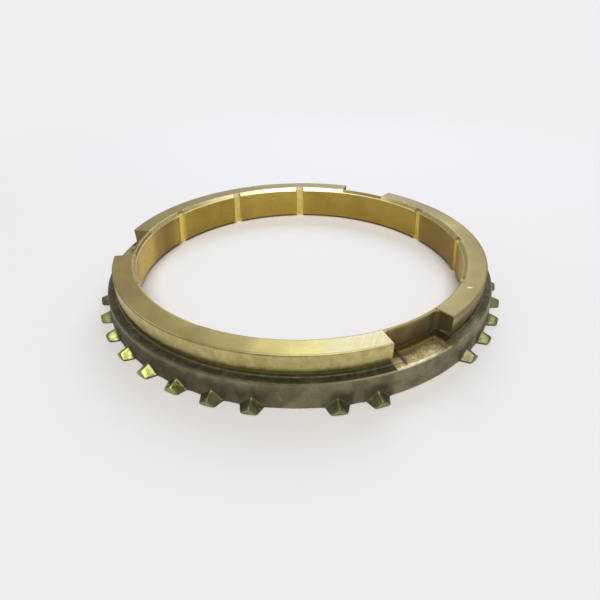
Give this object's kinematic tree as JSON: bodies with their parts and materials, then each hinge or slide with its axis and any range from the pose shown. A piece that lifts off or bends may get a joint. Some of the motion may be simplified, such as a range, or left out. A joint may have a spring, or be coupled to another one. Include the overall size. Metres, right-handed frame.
{
  "type": "synchronizer ring",
  "caption": "Brass synchronizer ring with a grooved friction cone inside, a slotted collar and pointed dog teeth round its flange.",
  "frame": {"origin": "on the ring's axis, in the flat gear-side face that it lies on", "axes": "+Z along the axis, from the toothed gear side to the slotted hub side; -X through the middle of one key slot"},
  "size_m": [0.1307, 0.1319, 0.0136],
  "materials": {
    "ring_brass": "forged and turned brass: satin machined faces, dull brown forged flange"
  },
  "bodies": {
    "root": {"synchronizer_ring": "ring_brass"}
  },
  "joints": []
}
